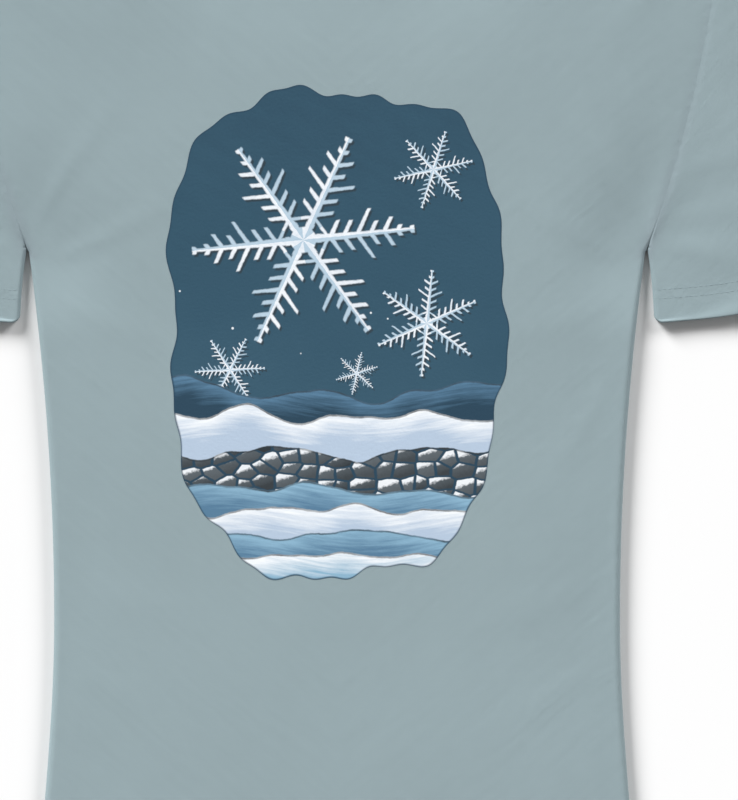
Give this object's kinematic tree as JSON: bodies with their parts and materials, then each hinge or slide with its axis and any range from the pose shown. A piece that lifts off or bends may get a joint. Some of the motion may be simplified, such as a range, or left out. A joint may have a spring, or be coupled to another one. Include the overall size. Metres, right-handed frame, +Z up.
{
  "type": "short-sleeved t-shirt",
  "caption": "Short-sleeved crew-neck cotton shirt laid flat on its back, with ribbed collar, sleeves turned down, sides turned under and a printed chest panel.",
  "frame": {"origin": "bottom centre of the bounding box: on the floor, under the middle of the laid shirt", "axes": "+X across the shirt towards its left sleeve as worn, which is on the right seen from above; +Y from the hem towards the collar; +Z up, out of the front"},
  "size_m": [0.68, 0.7284, 0.013],
  "materials": {
    "jersey": "matt single jersey knit, light grey-blue",
    "rib": "matt 1x1 rib knit, light grey-blue",
    "tape": "matt jersey tape, light grey-blue"
  },
  "bodies": {
    "root": {"front_panel": "jersey", "back_panel": "jersey", "sleeve_left": "jersey", "sleeve_right": "jersey", "collar": "rib", "neck_tape": "tape"}
  },
  "joints": []
}
